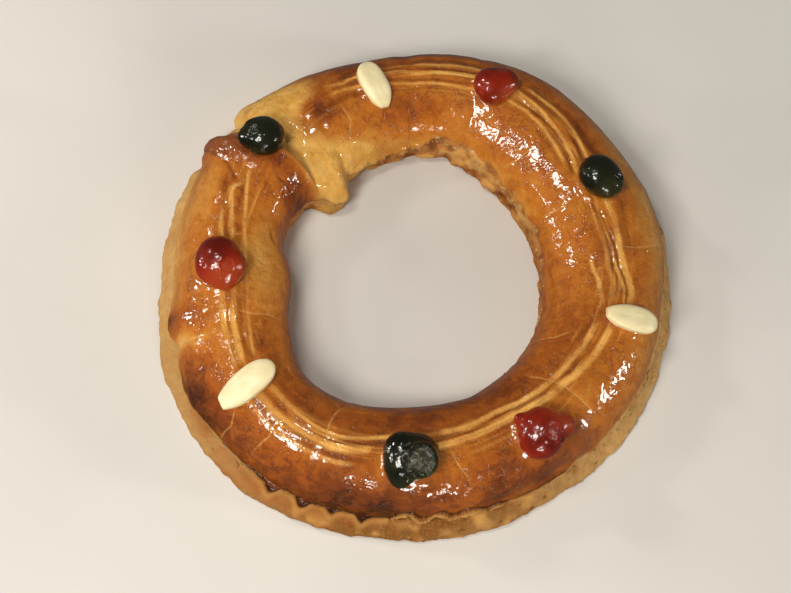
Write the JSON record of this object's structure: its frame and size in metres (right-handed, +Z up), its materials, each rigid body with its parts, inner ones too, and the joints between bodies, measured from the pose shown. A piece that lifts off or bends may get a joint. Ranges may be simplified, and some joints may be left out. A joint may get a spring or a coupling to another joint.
{
  "type": "christmas wreath pastry",
  "caption": "Ring of glazed golden pastry with lapped ends, scored along its crown and topped with candied cherries and blanched almonds.",
  "frame": {"origin": "middle of the ring's box, on the flat base that the ring rests on", "axes": "+Z up through the hole of the ring, the lapped joint between -X and +Y"},
  "size_m": [0.2304, 0.2264, 0.0473],
  "materials": {
    "baked_dough": "browned, egg-washed and glazed puff pastry, pale where it was not washed",
    "red_cherry": "wet, translucent candied cherry",
    "green_cherry": "wet, dark green candied cherry",
    "almond": "smooth blanched almond with a faint satin sheen"
  },
  "bodies": {
    "root": {"pastry_ring": "baked_dough", "cherry_red_top": "red_cherry", "cherry_red_lower": "red_cherry", "cherry_red_left": "red_cherry", "cherry_green_right": "green_cherry", "cherry_green_bottom": "green_cherry", "cherry_green_joint": "green_cherry", "almond_top": "almond", "almond_right": "almond", "almond_left": "almond"}
  },
  "joints": []
}
